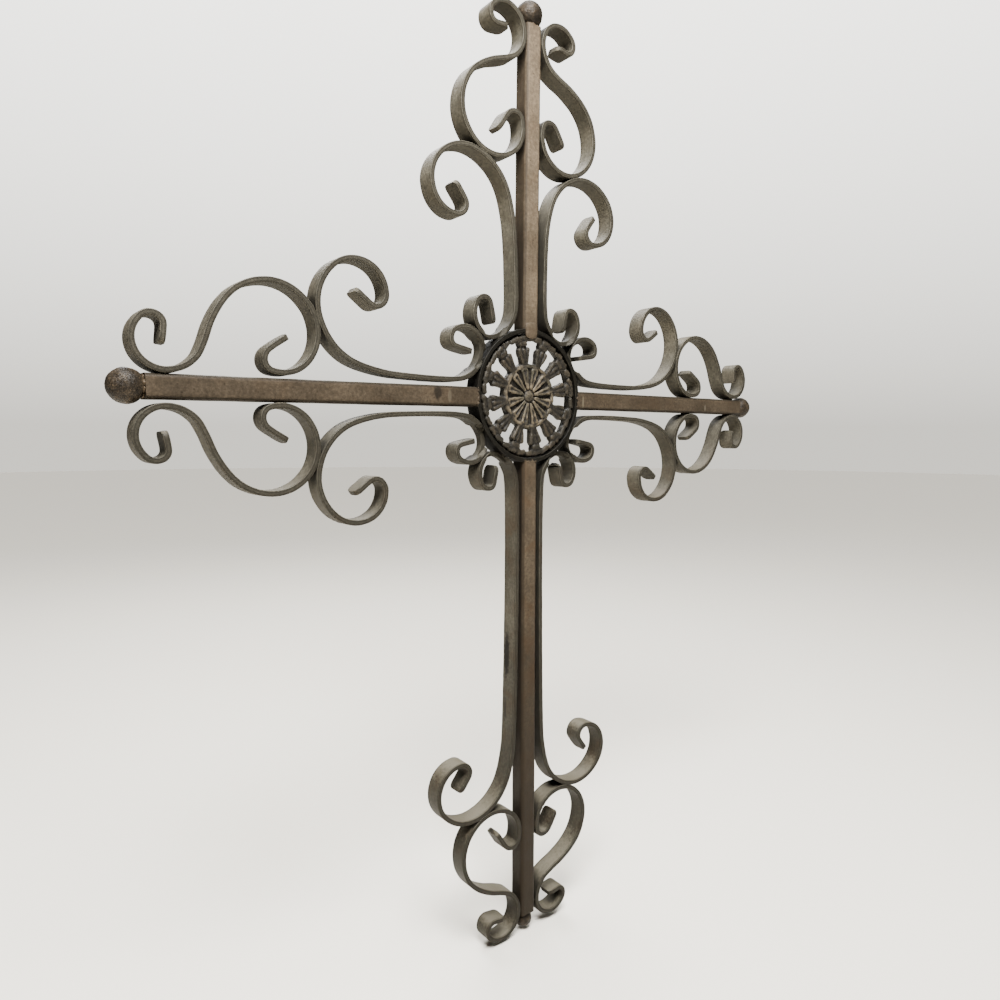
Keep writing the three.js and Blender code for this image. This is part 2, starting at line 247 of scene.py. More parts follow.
# Stage: a pale floor under a pale dome that only the camera sees
ROOM_RADIUS = 8.0
FLOOR_DROP = 1.0 * MM
FLOOR_COLOUR = (0.82, 0.775, 0.675, 1.0)
FLOOR_ROUGHNESS = 0.9
DOME_LOW = (0.3, 0.289, 0.262, 1.0)
DOME_HIGH = (1.0, 0.985, 0.93, 1.0)
DOME_STRENGTH = 3.6
DOME_FADE = 0.5
WORLD_COLOUR = (1.0, 0.985, 0.96, 1.0)
WORLD_STRENGTH = 0.08
OVERHEAD_STRENGTH = 3.6
OVERHEAD_SPREAD = math.radians(50)
# Lamps: name, place, what it aims at, size in metres, power in watts
STUDIO_LIGHTS = (
    ("key", (-0.3, -0.44, 0.62), (0.0, 0.0, 0.12), 0.4, 42.0),
    ("fill", (1.0, -1.2, 0.6), (0.0, 0.0, -0.07), 1.2, 3.0),
    ("back", (0.3, 0.9, 0.9), (0.0, 0.0, 0.0), 0.8, 26.0),
)


# Shader helpers
class Shade:
    """A shader socket that takes Python arithmetic."""

    def __init__(self, tree, socket):
        self.tree = tree
        self.socket = socket

    def math(self, operation, *others):
        settings = {"operation": operation}
        return Shader(self.tree).node("ShaderNodeMath", settings, dict(enumerate((self, *others))))

    def __add__(self, other):
        return self.math("ADD", other)

    __radd__ = __add__

    def __mul__(self, other):
        return self.math("MULTIPLY", other)

    __rmul__ = __mul__

    def __sub__(self, other):
        return self.math("SUBTRACT", other)

    def __rsub__(self, other):
        return (self * -1.0) + other

    def clamp(self):
        return self.math("MAXIMUM", 0.0).math("MINIMUM", 1.0)


class Shader:
    """Makes nodes in one material."""

    def __init__(self, tree):
        self.tree = tree

    def node(self, kind, settings=None, inputs=None, output=0):
        made = self.tree.nodes.new(kind)
        for key, value in (settings or {}).items():
            if key == "stops":
                ramp = made.color_ramp
                while len(ramp.elements) < len(value):
                    ramp.elements.new(0.5)
                for element, (place, colour) in zip(ramp.elements, value):
                    element.position = place
                    element.color = rgba(colour)
            else:
                setattr(made, key, value)
        for key, value in (inputs or {}).items():
            socket = made.inputs[key]
            if isinstance(value, Shade):
                self.tree.links.new(value.socket, socket)
            else:
                socket.default_value = value
        return Shade(self.tree, made.outputs[output]) if len(made.outputs) else None

    def coordinates(self):
        return self.node("ShaderNodeTexCoord", output="Object")

    def noise(self, at, scale, detail=4.0, roughness=0.55, distortion=0.0):
        return self.node("ShaderNodeTexNoise", {}, {
            "Vector": at, "Scale": scale, "Detail": detail, "Roughness": roughness, "Distortion": distortion,
        }, "Fac")

    def cells(self, at, scale):
        inputs = {"Vector": at, "Scale": scale}
        return self.node("ShaderNodeTexVoronoi", {"feature": "F1"}, inputs, "Distance")

    def away(self, at, location, scale=(1.0, 1.0, 1.0)):
        """How far a place lies from the middle of a moved and scaled pattern."""
        near = self.node("ShaderNodeMapping", {}, {"Vector": at, "Location": location, "Scale": scale})
        return self.node("ShaderNodeVectorMath", {"operation": "LENGTH"}, {0: near}, "Value")

    def attribute(self, name):
        return self.node("ShaderNodeAttribute", {"attribute_name": name}, {}, "Fac")

    def ramp(self, factor, *stops):
        return self.node("ShaderNodeValToRGB", {"stops": stops}, {"Fac": factor}, "Color")

    def level(self, factor, low, high):
        return self.node("ShaderNodeMapRange", {"clamp": True}, {
            "Value": factor, "From Min": low, "From Max": high, "To Min": 0.0, "To Max": 1.0,
        }, "Result")

    def mix(self, factor, one, other):
        return self.node("ShaderNodeMix", {"data_type": "RGBA"}, {0: factor, 6: one, 7: other}, 2)

    def over(self, share, colour, tone):
        """Lays a plain tone over a colour."""
        return self.mix(share, colour, rgba(tone))

    def bump(self, height, strength, distance):
        inputs = {"Height": height, "Strength": strength, "Distance": distance}
        return self.node("ShaderNodeBump", {}, inputs, "Normal")


def shaded(colour, factor):
    return tuple(channel * factor for channel in colour)


def rgba(colour):
    return (*colour, 1.0)


def new_material(name):
    material = bpy.data.materials.new(name)
    material.use_nodes = True
    tree = material.node_tree
    tree.nodes.clear()
    return material, Shader(tree)


def finish_material(shader, values):
    surface = shader.node("ShaderNodeBsdfPrincipled", {}, values, "BSDF")
    shader.node("ShaderNodeOutputMaterial", {}, {"Surface": surface})


def lacquered_iron(name, mid, worn, warm, edge_wear, warm_share, flank_share):
    """Bronze-brown lacquer over iron: mottled, worn pale along the edges, with painted shade near black in
    the crevices.
    """
    material, shader = new_material(name)
    at = shader.coordinates()
    height = shader.node("ShaderNodeSeparateXYZ", {}, {0: at}, 2)
    broad = shader.noise(at, MOTTLE_SCALE, 5.0, 0.6)
    fine = shader.noise(at, SCUFF_SCALE, 6.0, 0.7)
    grain = shader.noise(at, GRAIN_SCALE, 3.0, 0.6)
    mottle = broad * 0.42 + fine * 0.58
    colour = shader.ramp(mottle, (0.34, shaded(mid, 0.5)), (0.5, mid), (0.66, shaded(mid, 1.8)))

    # Brown patches and dark specks in the lacquer
    patches = shader.level(shader.noise(at, PATCH_SCALE, 3.0, 0.5, 0.6), 0.48, 0.66)
    brown_zone = shader.level(height, *BROWN_ZONE) * 0.8 + 0.2
    colour = shader.over(patches * brown_zone * warm_share, colour, warm)
    crowded = shader.level(shader.noise(at, SPECK_SPREAD), 0.44, 0.58)
    specks = shader.level(shader.cells(at, SPECK_SCALE), 0.2, 0.07) * crowded
    colour = shader.over(specks * 0.75, colour, shaded(mid, 0.2))

    # Painted shade darkens the colour towards the foot; what faces up there gets dust and painted top light
    foot = shader.level(height + broad * 0.04, *reversed(FOOT_PAINTED_SHADE))
    colour = shader.over(foot * (0.68 + flank_share * 0.36), colour, shaded(mid, 0.15))
    settled_and_lit = shader.level(shader.attribute("dust") + fine * 0.9 - 0.45, 0.45, 0.95)
    colour = shader.over(settled_and_lit * (foot * 0.65 + 0.1), colour, DUST_AND_TOP_LIGHT)

    # Darker round the hub, dark down the flanks
    away = shader.away(at, tuple(-HOOP_CENTRE))
    near_hub = shader.level(away + broad * 0.02, *reversed(HUB_DARKENS))
    colour = shader.over((near_hub * (1.0 - flank_share) * 0.6).clamp(), colour, shaded(mid, 0.25))
    flank = shader.attribute("flank")
    colour = shader.over(flank * (flank_share or RIM_SHARE), colour, shaded(mid, 0.18))

    # A dark line just inside the long edges, the edges themselves rubbed pale
    edge = shader.attribute("edge")
    line = shader.level(edge, 0.3, 0.5) * shader.level(edge, 0.82, 0.62)
    colour = shader.over(line * 0.7, colour, shaded(mid, 0.2))
    ragged = shader.level(shader.noise(at, RAGGED_SCALE, 5.0, 0.7) + fine * 0.4, 0.42, 0.8)
    rubbed = shader.level(edge, 0.8, 0.97) * ragged * edge_wear * (1.0 - foot * 0.5)
    colour = shader.over(rubbed, colour, worn)

    for place, reach, tone, share in SCARS:
        scale = tuple(1.0 / (size * MM) for size in reach)
        middle = tuple(-part * MM * factor for part, factor in zip(place, scale))
        mark = shader.level(shader.away(at, middle, scale) + fine * 0.9, 1.5, 1.1) * share
        colour = shader.over(mark, colour, tone)

    # Painted shade in the crevices and under what faces down
    painted_shade = shader.level(shader.attribute("grime") + fine * 0.3, 0.35, 0.95)
    colour = shader.over(painted_shade * 0.85, colour, shaded(mid, 0.16))
    rough = fine * 0.3 + broad * 0.16 + 0.3 - rubbed * 0.08 + painted_shade * 0.2
    finish_material(shader, {
        "Base Color": colour, "Metallic": 0.1, "Roughness": rough.clamp(), "Specular IOR Level": 0.07,
        "Normal": shader.bump(fine * 0.6 + grain * 0.4, 0.4, 0.6 * MM),
    })
    return material


def cast_iron(name, dark, mid, olive, tan):
    """Rough casting: near black in the hollows, olive and tan rubbed over what stands proud."""
    material, shader = new_material(name)
    at = shader.coordinates()
    broad = shader.noise(at, CAST_MOTTLE_SCALE, 4.0, 0.6)
    fine = shader.noise(at, CAST_SCUFF_SCALE, 6.0, 0.7)
    grain = shader.noise(at, CAST_GRAIN_SCALE, 3.0, 0.6)
    spokes = shader.level(shader.away(at, tuple(-HOOP_CENTRE), (1.0, 0.0, 1.0)), *SPOKE_ZONE)
    # Painted shade: sheltered places keep the dark colour instead of the rubbed tint
    grime = shader.level(shader.attribute("grime") + fine * 0.3, 0.3, 0.9)
    raised = shader.level(shader.attribute("proud") + fine * 0.8 - 0.4, 0.45, 0.95)
    rubbed = raised * (1.0 - spokes * 0.6) * (1.0 - grime * 0.7)
    colour = shader.mix(shader.level(fine, 0.35, 0.65), rgba(dark), rgba(mid))
    tint = shader.mix(shader.level(broad, 0.4, 0.62), rgba(olive), rgba(tan))
    colour = shader.mix(rubbed, colour, tint)
    colour = shader.over(spokes * 0.45, colour, shaded(dark, 0.8))
    rough = fine * 0.3 + 0.32 - rubbed * 0.1
    finish_material(shader, {
        "Base Color": colour, "Metallic": 0.1, "Roughness": rough.clamp(), "Specular IOR Level": 0.1,
        "Normal": shader.bump(fine * 0.7 + grain * 0.3, 0.6, 0.8 * MM),
    })
    return material


def ball_iron(context):
    """The balls' rough brown finish with tan wear on the high parts and dark pits."""
    material, shader = new_material("ball_lacquer")
    at = shader.coordinates()
    broad = shader.noise(at, BALL_MOTTLE_SCALE, 4.0, 0.6)
    fine = shader.noise(at, BALL_SCUFF_SCALE, 6.0, 0.7)
    base = tuple(context.scene.cross_colours.bar_mid)
    pits, skin, high = ((0.36, shaded(base, 0.07)), (0.5, shaded(base, 0.19)), (0.68, shaded(base, 0.55)))
    colour = shader.ramp(broad * 0.55 + fine * 0.45, pits, skin, high)
    worn = shader.level(shader.attribute("proud") * 0.7 + broad * 0.5, 0.66, 0.9)
    finish_material(shader, {
        "Base Color": shader.over(worn * 0.6, colour, BALL_TAN), "Metallic": 0.2,
        "Roughness": (fine * 0.3 + 0.32).clamp(), "Normal": shader.bump(fine, 0.5, 0.6 * MM),
        "Specular IOR Level": 0.14,
    })
    return material


def lacquer(context, name, colour, edge_wear, warm, warm_share, flank_share=0.0):
    """One lacquered material, made once and shared by like pieces."""
    if name in bpy.data.materials:
        return bpy.data.materials[name]
    worn = tuple(context.scene.cross_colours.worn)
    return lacquered_iron(name, tuple(colour), worn, warm, edge_wear, warm_share, flank_share)


# Mesh helpers
def add_object(name, mesh, material):
    piece = bpy.data.objects.new(name, mesh)
    bpy.context.scene.collection.objects.link(piece)
    if material is not None:
        mesh.materials.clear()
        mesh.materials.append(material)
    return piece


def mesh_of(shape, name):
    """Turns an edited shape into a mesh and frees it."""
    mesh = bpy.data.meshes.new(name)
    shape.to_mesh(mesh)
    shape.free()
    return mesh


def store(mesh, name, values):
    """Keeps one number for each point under a name that the materials read."""
    mesh.attributes.new(name, "FLOAT", "POINT").data.foreach_set("value", values)


def point_tree(points):
    """Finds the nearest of many points."""
    tree = KDTree(len(points))
    for index, point in enumerate(points):
        tree.insert(point, index)
    tree.balance()
    return tree


def finish_piece(piece, nodes):
    for polygon in piece.data.polygons:
        polygon.use_smooth = True
    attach(piece, BODY)
    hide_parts(*nodes)


def baked(piece, name):
    """The evaluated object as a plain mesh under a new name; the source goes."""
    graph = bpy.context.evaluated_depsgraph_get()
    evaluated = piece.evaluated_get(graph)
    mesh = bpy.data.meshes.new_from_object(evaluated, preserve_all_data_layers=True, depsgraph=graph)
    mesh.name = name
    bpy.data.objects.remove(piece)
    return add_object(name, mesh, None)


def strap_centre_line(node):
    """The middle of a strap, read off the two rails of its solid's front face."""
    mesh = bmesh.new()
    mesh.from_mesh(NODES[node].data)
    bmesh.ops.remove_doubles(mesh, verts=mesh.verts, dist=1e-6)
    front = min(vertex.co.y for vertex in mesh.verts)
    rim = {}
    for edge in mesh.edges:
        on_front = all(vertex.co.y < front + 1e-5 for vertex in edge.verts)
        flats = [abs(face.normal.y) > 0.9 for face in edge.link_faces]
        if on_front and len(flats) == 2 and flats[0] != flats[1]:
            one, other = edge.verts
            rim.setdefault(one.index, []).append(other.index)
            rim.setdefault(other.index, []).append(one.index)
    mesh.verts.ensure_lookup_table()
    loop = [next(iter(rim))]
    previous = None
    while True:
        ahead = [index for index in rim[loop[-1]] if index != previous]
        previous = loop[-1]
        if ahead[0] == loop[0]:
            break
        loop.append(ahead[0])
    points = [mesh.verts[index].co.copy() for index in loop]
    mesh.free()
    count = len(points)
    half = count // 2

    def squareness(index):
        one = points[index]
        other = points[(index + 1) % count]
        before = (one - points[index - 1]).normalized()
        across = (other - one).normalized()
        after = (points[(index + 2) % count] - other).normalized()
        return abs(before.dot(across)) + abs(across.dot(after))

    start = min(range(half), key=lambda index: squareness(index) + squareness(index + half))
    rail = [points[(start + 1 + step) % count] for step in range(half)]
    back = [points[(start - step) % count] for step in range(half)]
    line = [(one + other) / 2 for one, other in zip(rail, back)]
    thickness = (rail[0] - back[0]).length
    return line, thickness


def smooth_line(points, spacing):
    """A Catmull-Rom curve through the points, cut at an even spacing."""
    dense = []
    last = len(points) - 1
    for index in range(last):
        ends = [points[max(index - 1, 0)], points[index], points[index + 1], points[min(index + 2, last)]]
        knots = [0.0]
        for one, other in zip(ends, ends[1:]):
            knots.append(knots[-1] + max((other - one).length, 1e-6) ** 0.5)
        steps = max(2, int((ends[2] - ends[1]).length / (spacing * 0.25)))
        for step in range(steps):
            at = knots[1] + (knots[2] - knots[1]) * step / steps
            first = [ends[i] * ((knots[i + 1] - at) / (knots[i + 1] - knots[i]))
                     + ends[i + 1] * ((at - knots[i]) / (knots[i + 1] - knots[i])) for i in range(3)]
            second = [first[i] * ((knots[i + 2] - at) / (knots[i + 2] - knots[i]))
                      + first[i + 1] * ((at - knots[i]) / (knots[i + 2] - knots[i])) for i in range(2)]
            dense.append(second[0] * ((knots[2] - at) / (knots[2] - knots[1]))
                         + second[1] * ((at - knots[1]) / (knots[2] - knots[1])))
    dense.append(points[-1].copy())
    even = [dense[0].copy()]
    travelled = 0.0
    for one, other in zip(dense, dense[1:]):
        length = (other - one).length
        while travelled + length >= spacing and length > 0:
            share = (spacing - travelled) / length
            one = one.lerp(other, share)
            even.append(one.copy())
            length = (other - one).length
            travelled = 0.0
        travelled += length
    if (even[-1] - dense[-1]).length > spacing * 0.4:
        even.append(dense[-1])
    else:
        even[-1] = dense[-1]
    return even


# Geometry Nodes
class Tree:
    """A Geometry Nodes tree with named inputs."""

    def __init__(self, name):
        self.group = bpy.data.node_groups.new(name, "GeometryNodeTree")
        self.group.is_modifier = True
        self.group.interface.new_socket("Geometry", in_out="INPUT", socket_type="NodeSocketGeometry")
        self.group.interface.new_socket("Geometry", in_out="OUTPUT", socket_type="NodeSocketGeometry")
        self.identifiers = {}
        self.entry = None

    def input(self, name, kind, default):
        socket = self.group.interface.new_socket(name, in_out="INPUT", socket_type=kind)
        if default is not None:
            socket.default_value = default
        self.identifiers[name] = socket.identifier

    def begin(self):
        self.entry = self.group.nodes.new("NodeGroupInput")

    def given(self, name):
        return self.entry.outputs[name]

    def node(self, kind, settings=None, inputs=None):
        made = self.group.nodes.new(kind)
        for key, value in (settings or {}).items():
            setattr(made, key, value)
        for key, value in (inputs or {}).items():
            socket = made.inputs[key]
            if isinstance(value, bpy.types.NodeSocket):
                self.group.links.new(value, socket)
            else:
                socket.default_value = value
        return made

    def finish(self, geometry, material):
        realized = self.node("GeometryNodeRealizeInstances", {}, {"Geometry": geometry})
        painted = self.node("GeometryNodeSetMaterial", {}, {
            "Geometry": realized.outputs["Geometry"], "Material": material,
        })
        leave = self.group.nodes.new("NodeGroupOutput")
        self.group.links.new(painted.outputs["Geometry"], leave.inputs["Geometry"])
        return self

    def apply(self, piece, values):
        modifier = piece.modifiers.new(self.group.name, "NODES")
        modifier.node_group = self.group
        for name, value in values.items():
            modifier[self.identifiers[name]] = value
        return modifier


def sweep_tree(material):
    """Sweeps a section along a curve and leaves the hammer's unevenness on it."""
    tree = Tree("forged_sweep")
    tree.input("Section", "NodeSocketObject", None)
    tree.input("Unevenness", "NodeSocketFloat", 0.0001)
    tree.input("Mark Scale", "NodeSocketFloat", 110.0)
    tree.input("Seed", "NodeSocketFloat", 0.0)
    tree.begin()
    section = tree.node("GeometryNodeObjectInfo", {}, {"Object": tree.given("Section")})
    sweep = tree.node("GeometryNodeCurveToMesh", {}, {
        "Curve": tree.given("Geometry"), "Profile Curve": section.outputs["Geometry"], "Fill Caps": True,
    })
    position = tree.node("GeometryNodeInputPosition")
    pattern = tree.node("ShaderNodeTexNoise", {"noise_dimensions": "4D"}, {
        "Vector": position.outputs["Position"], "W": tree.given("Seed"), "Scale": tree.given("Mark Scale"),
        "Detail": 2.0,
    })
    centred = tree.node("ShaderNodeMath", {"operation": "SUBTRACT"}, {0: pattern.outputs[0], 1: 0.5})
    amount = tree.node("ShaderNodeMath", {"operation": "MULTIPLY"}, {
        0: centred.outputs[0], 1: tree.given("Unevenness"),
    })
    normal = tree.node("GeometryNodeInputNormal")
    offset = tree.node("ShaderNodeVectorMath", {"operation": "SCALE"}, {
        0: normal.outputs["Normal"], "Scale": amount.outputs[0],
    })
    moved = tree.node("GeometryNodeSetPosition", {}, {
        "Geometry": sweep.outputs["Mesh"], "Offset": offset.outputs["Vector"],
    })
    return tree.finish(moved.outputs["Geometry"], material)


def copies_tree(material):
    """Sets copies of one shape in a ring about the Y axis, each a little different in size."""
    tree = Tree("ring_of_copies")
    tree.input("Count", "NodeSocketInt", 12)
    tree.input("Start", "NodeSocketFloat", 0.0)
    tree.input("Unlikeness", "NodeSocketFloat", 0.04)
    tree.input("Seed", "NodeSocketInt", 1)
    tree.begin()
    points = tree.node("GeometryNodePoints", {}, {"Count": tree.given("Count")})
    index = tree.node("GeometryNodeInputIndex")
    share = tree.node("ShaderNodeMath", {"operation": "DIVIDE"}, {
        0: index.outputs[0], 1: tree.given("Count"),
    })
    turn = tree.node("ShaderNodeMath", {"operation": "MULTIPLY_ADD"}, {
        0: share.outputs[0], 1: 2 * math.pi, 2: tree.given("Start"),
    })
    rotation = tree.node("ShaderNodeCombineXYZ", {}, {"Y": turn.outputs[0]})
    chance = tree.node("FunctionNodeRandomValue", {"data_type": "FLOAT"}, {
        2: -1.0, 3: 1.0, "Seed": tree.given("Seed"),
    })
    size = tree.node("ShaderNodeMath", {"operation": "MULTIPLY_ADD"}, {
        0: chance.outputs[1], 1: tree.given("Unlikeness"), 2: 1.0,
    })
    scale = tree.node("ShaderNodeCombineXYZ", {}, {"X": size.outputs[0], "Y": 1.0, "Z": 1.0})
    ring = tree.node("GeometryNodeInstanceOnPoints", {}, {
        "Points": points.outputs[0], "Instance": tree.given("Geometry"),
        "Rotation": rotation.outputs[0], "Scale": scale.outputs[0],
    })
    return tree.finish(ring.outputs["Instances"], material)


def curve_along(name, points):
    curve = bpy.data.curves.new(name, "CURVE")
    curve.dimensions = "3D"
    spline = curve.splines.new("POLY")
    spline.points.add(len(points) - 1)
    for point, place in zip(spline.points, points):
        point.co = (place.x, place.y, place.z, 1.0)
    return curve


def mark_edges(mesh, line, half_depth, half_thickness, reach):
    """Stores how near each point lies to the long edges, for the worn finish."""
    tree = point_tree(line)
    shares = []
    for vertex in mesh.vertices:
        flat = Vector((vertex.co.x, MID_DEPTH, vertex.co.z))
        _, index, _ = tree.find(flat)
        ahead = line[min(index + 1, len(line) - 1)] - line[max(index - 1, 0)]
        across = abs((flat - line[index]).dot(ahead.cross(DEPTH_AXIS).normalized()))
        insets = (half_thickness - across, half_depth - abs(vertex.co.y - MID_DEPTH))
        shares.append(math.prod(max(0.0, 1.0 - max(inset, 0.0) / reach) for inset in insets))
    store(mesh, "edge", shares)


def section_object(name, width, depth, radius, flats, corner_steps=4):
    """A rounded rectangle as a closed curve; flats gives the shares at which each flat has more points."""
    corners = ((1, 1), (-1, 1), (-1, -1), (1, -1))
    points = []
    for quarter, (x_side, y_side) in enumerate(corners):
        middle = Vector((x_side * (width / 2 - radius), y_side * (depth / 2 - radius), 0.0))
        for step in range(corner_steps + 1):
            angle = math.radians(90) * (quarter + step / corner_steps)
            points.append(middle + Vector((math.cos(angle), math.sin(angle), 0.0)) * radius)
        x_next, y_next = corners[(quarter + 1) % 4]
        angle = math.radians(90) * (quarter + 1)
        ahead = Vector((x_next * (width / 2 - radius), y_next * (depth / 2 - radius), 0.0))
        ahead += Vector((math.cos(angle), math.sin(angle), 0.0)) * radius
        last = points[-1].copy()
        points += [last.lerp(ahead, share) for share in flats[quarter % 2]]
    made = bpy.data.objects.new(name, curve_along(name, points))
    made.data.splines[0].use_cyclic_u = True
    bpy.context.scene.collection.objects.link(made)
    return made


def round_tips(mesh, line, half_depth, radius, seed):
    """Rounds and roughens the corners of a strap's cut ends."""
    for end, ahead in ((line[0], line[1]), (line[-1], line[-2])):
        along = (ahead - end).normalized()
        for vertex in mesh.vertices:
            flat = Vector((vertex.co.x, MID_DEPTH, vertex.co.z))
            if (flat - end).length > 3 * radius:
                continue
            lump = noise.noise(vertex.co * 900.0 + Vector((seed, 0.0, 0.0)))
            inside = max((flat - end).dot(along) + lump * 0.25 * MM, 0.0)
            ragged = radius * (1 + TIP_RAGGED * noise.noise(Vector((seed, vertex.co.y * 90.0, 0.0))))
            if inside < ragged:
                most = half_depth - ragged + math.sqrt(max(ragged ** 2 - (ragged - inside) ** 2, 0.0))
                vertex.co.y = MID_DEPTH + (vertex.co.y - MID_DEPTH) * most / half_depth


def sweep_piece(name, line, section, tree, unevenness, mark_scale, seed, closed=False):
    """Sweeps the section along a line in the cross's plane, eases the ends and takes the section away."""
    flat = [Vector((point.x, -point.z, 0.0)) for point in line]
    source = bpy.data.objects.new(name + "_path", curve_along(name + "_path", flat))
    bpy.context.scene.collection.objects.link(source)
    source.data.twist_mode = "Z_UP"
    spline = source.data.splines[0]
    spline.use_cyclic_u = closed
    if not closed:
        spline.points[0].radius = END_EASE
        spline.points[-1].radius = END_EASE
    tree.apply(source, {
        "Section": section, "Unevenness": unevenness, "Mark Scale": mark_scale, "Seed": float(seed),
    })
    piece = baked(source, name)
    upright = Matrix(((1, 0, 0, 0), (0, 0, 1, MID_DEPTH), (0, -1, 0, 0), (0, 0, 0, 1)))
    piece.data.transform(upright)
    bpy.data.objects.remove(section)
    return piece


def eased_ends(line, lengths):
    """The line with more points just inside each end, where the cut is eased and its corners are rounded."""
    first = [line[0].lerp(line[1], length / (line[1] - line[0]).length) for length in lengths]
    last = [line[-1].lerp(line[-2], length / (line[-2] - line[-1]).length) for length in reversed(lengths)]
    return [line[0], *first, *line[1:-1], *last, line[-1]]


class CrossSizes(bpy.types.PropertyGroup):
    """Sizes of the finish work on the iron."""

    strap_edge: bpy.props.FloatProperty(
        name="Strap edge radius", description="Rounding along the strap's four long edges",
        default=0.0006, unit="LENGTH")
    bar_corner: bpy.props.FloatProperty(
        name="Bar corner radius", description="Rounding of the square bars' long corners",
        default=0.0024, unit="LENGTH")
    casting_grain: bpy.props.FloatProperty(
        name="Casting grain", description="Size of the smallest form the casting shows",
        default=0.00045, unit="LENGTH")
    strap_step: bpy.props.FloatProperty(
        name="Strap step", description="Spacing of the rings of points along a strap",
        default=0.0012, unit="LENGTH")
    unevenness: bpy.props.FloatProperty(
        name="Unevenness", description="Depth of the hammer's marks",
        default=0.00035, unit="LENGTH")


class CrossColours(bpy.types.PropertyGroup):
    """Colours of the lacquer and the casting."""

    strap_mid: bpy.props.FloatVectorProperty(
        name="Strap", description="Main colour of the straps", subtype="COLOR",
        default=(0.069, 0.062, 0.046))
    bar_mid: bpy.props.FloatVectorProperty(
        name="Bar", description="Main colour of the bars", subtype="COLOR",
        default=(0.082, 0.062, 0.041))
    worn: bpy.props.FloatVectorProperty(
        name="Worn edge", description="Colour of the worn edges", subtype="COLOR",
        default=(0.17, 0.145, 0.11))
    rosette_dark: bpy.props.FloatVectorProperty(
        name="Rosette", description="Colour of the casting's hollows", subtype="COLOR",
        default=(0.009, 0.008, 0.0065))


def lay_floor():
    material, shader = new_material("pale_floor")
    finish_material(shader, {"Base Color": FLOOR_COLOUR, "Roughness": FLOOR_ROUGHNESS})
    shape = bmesh.new()
    bmesh.ops.create_circle(shape, cap_ends=True, segments=96, radius=ROOM_RADIUS)
    bmesh.ops.translate(shape, verts=shape.verts, vec=(0.0, 0.0, cad_box[0].z - FLOOR_DROP))
    add_object("floor", mesh_of(shape, "floor"), material)


def raise_dome():
    """A pale backdrop that lights nothing and casts no shadow."""
    material, shader = new_material("pale_dome")
    height = shader.node("ShaderNodeSeparateXYZ", {}, {0: shader.coordinates()}, 2)
    # The dome glows; darker near the horizon and brighter higher up as painted light falloff
    tone = shader.mix(shader.level(height, 0.0, ROOM_RADIUS * DOME_FADE), DOME_LOW, DOME_HIGH)
    finish_material(shader, {
        "Base Color": (0.0, 0.0, 0.0, 1.0), "Specular IOR Level": 0.0, "Emission Color": tone,
        "Emission Strength": DOME_STRENGTH,
    })
    shape = bmesh.new()
    bmesh.ops.create_uvsphere(shape, u_segments=64, v_segments=32, radius=ROOM_RADIUS)
    bmesh.ops.reverse_faces(shape, faces=shape.faces)
    dome = add_object("dome", mesh_of(shape, "dome"), material)
    for polygon in dome.data.polygons:
        polygon.use_smooth = True
    dome.visible_diffuse = False
    dome.visible_glossy = False
    dome.visible_shadow = False


def hang_lights(context):
    world = bpy.data.worlds.new("soft_room")
    world.use_nodes = True
    world.node_tree.nodes["Background"].inputs[0].default_value = WORLD_COLOUR
    world.node_tree.nodes["Background"].inputs[1].default_value = WORLD_STRENGTH
    context.scene.world = world
    for name, place, target, size, power in STUDIO_LIGHTS:
        lamp = bpy.data.lights.new(name, "AREA")
        lamp.shape = "SQUARE"
        lamp.size = size
        lamp.energy = power
        holder = add_object(name, lamp, None)
        holder.location = place
        holder.rotation_euler = (Vector(target) - Vector(place)).to_track_quat("-Z", "Y").to_euler()
        holder.visible_camera = False
    overhead = bpy.data.lights.new("overhead", "SUN")
    overhead.energy = OVERHEAD_STRENGTH
    overhead.angle = OVERHEAD_SPREAD
    add_object("overhead", overhead, None)


def set_camera(context):
    camera = bpy.data.cameras.new("camera")
    camera.sensor_width = SENSOR_WIDTH
    camera.lens = SENSOR_WIDTH * CAMERA_FOCAL / PHOTO_WIDTH
    camera.clip_start = 0.01
    level = Vector((math.sin(VIEW_YAW), math.cos(VIEW_YAW), 0.0))
    forward = level * math.cos(VIEW_PITCH) + Vector((0.0, 0.0, math.sin(VIEW_PITCH)))
    right = Vector((math.cos(VIEW_YAW), -math.sin(VIEW_YAW), 0.0))
    up = right.cross(forward)
    rolled = right * math.cos(VIEW_ROLL) + up * math.sin(VIEW_ROLL)
    raised = up * math.cos(VIEW_ROLL) - right * math.sin(VIEW_ROLL)
    rotation = Matrix((rolled, raised, -forward)).transposed().to_4x4()
    holder = add_object("camera", camera, None)
    holder.matrix_world = Matrix.Translation(CROSSING + Vector(CAMERA_PLACE) * MM) @ rotation
    context.scene.camera = holder


class CROSS_OT_stage(bpy.types.Operator):
    """Lays the floor and backdrop, sets the soft lights and the camera"""

    bl_idname = "cross.stage"
    bl_label = "Stage, lights and camera"

    def execute(self, context):
        lay_floor()
        raise_dome()
        hang_lights(context)
        set_camera(context)
        return {"FINISHED"}


def strap_lines():
    """Every strap's smoothed middle line and thickness, by node."""
    if not STRAP_LINES:
        step = bpy.context.scene.cross_sizes.strap_step
        for node in (*LONG_SCROLLS, *END_SCROLLS):
            rails, thickness = strap_centre_line(node)
            flat = [Vector((point.x, MID_DEPTH, point.z)) for point in rails]
            STRAP_LINES[node] = (smooth_line(flat, step), thickness)
    return STRAP_LINES


def hoop_line(count=240):
    """The middle of the hoop's band."""
    radius = HOOP_RADIUS - HOOP_THICKNESS / 2
    turns = (2 * math.pi * index / count for index in range(count))
    return [HOOP_CENTRE + Vector((radius * math.sin(turn), 0.0, radius * math.cos(turn))) for turn in turns]


def bar_line(arm, spacing):
    foot, tip = bar_ends(arm)
    steps = int((tip - foot).length / spacing)
    return [foot.lerp(tip, step / steps) for step in range(steps + 1)]


